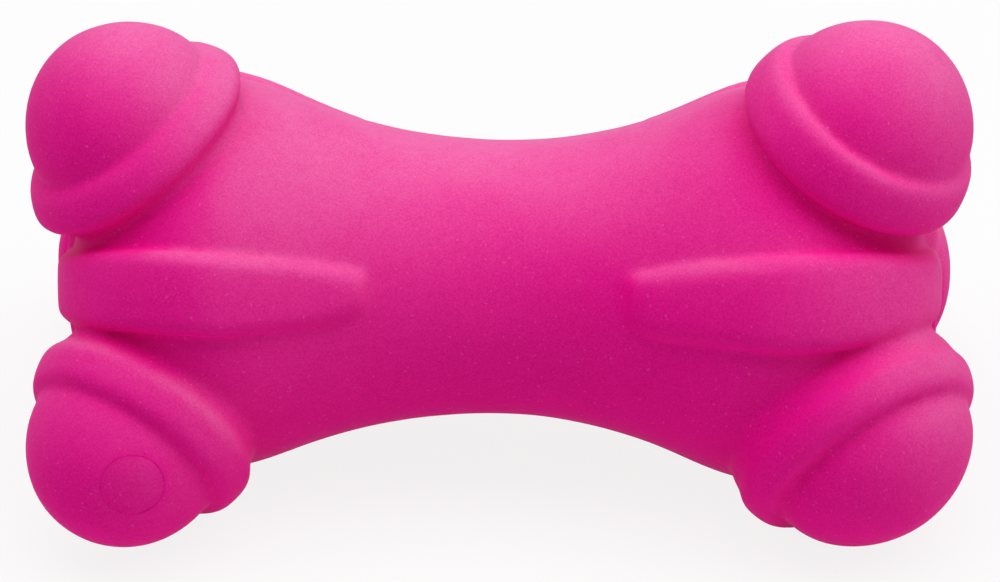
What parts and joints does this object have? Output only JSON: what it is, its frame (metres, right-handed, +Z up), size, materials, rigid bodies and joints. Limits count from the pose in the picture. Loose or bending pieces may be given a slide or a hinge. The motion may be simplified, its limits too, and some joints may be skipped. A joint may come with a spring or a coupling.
{
  "type": "chew toy",
  "caption": "Stuffed latex chew bone with domed, collared knobs at both ends, tapered ribs between them and a squeaker held in its filling.",
  "frame": {"origin": "on the surface that the bone stands on, under its middle", "axes": "+X along the bone, +Z up past the two upper knobs, and -Y to the side with the filling plug"},
  "size_m": [0.15, 0.0842, 0.0776],
  "materials": {
    "latex": "matte moulded latex, hot pink, lightly powdered",
    "plug_latex": "matte cured latex, a shade darker",
    "fibre": "loose polyester fibre",
    "bellows_plastic": "blow moulded, milky",
    "head_plastic": "moulded, satin",
    "reed_plastic": "moulded, satin",
    "reed_film": "clear thin film"
  },
  "bodies": {
    "bone": {"skin": "latex", "filling_plug": "plug_latex", "knob_wad_left_top": "fibre", "knob_wad_left_front": "fibre", "knob_wad_left_rear": "fibre", "knob_wad_right_top": "fibre", "knob_wad_right_front": "fibre", "knob_wad_right_rear": "fibre", "core_wad_left": "fibre", "core_wad_right": "fibre", "squeaker_bellows": "bellows_plastic", "squeaker_head": "head_plastic", "reed_tube": "reed_plastic", "reed_seat": "reed_plastic", "reed_wedge": "reed_plastic"},
    "crown": {"squeaker_crown": "bellows_plastic"},
    "reed": {"reed_blade": "reed_film"}
  },
  "joints": [
    {"name": "crown_press", "type": "slide", "parent": "bone", "child": "crown", "axis": [0, 0, -1], "range_m": [0, 0.006], "stiffness_N_per_m": 800, "deforming": ["squeaker_bellows"]},
    {"name": "reed_flutter", "type": "hinge", "parent": "bone", "child": "reed", "pos_m": [0, 0, 0.0205], "axis": [1, 0, 0], "range_deg": [-8, 0.8], "stiffness_Nm_per_rad": 0.0002}
  ]
}
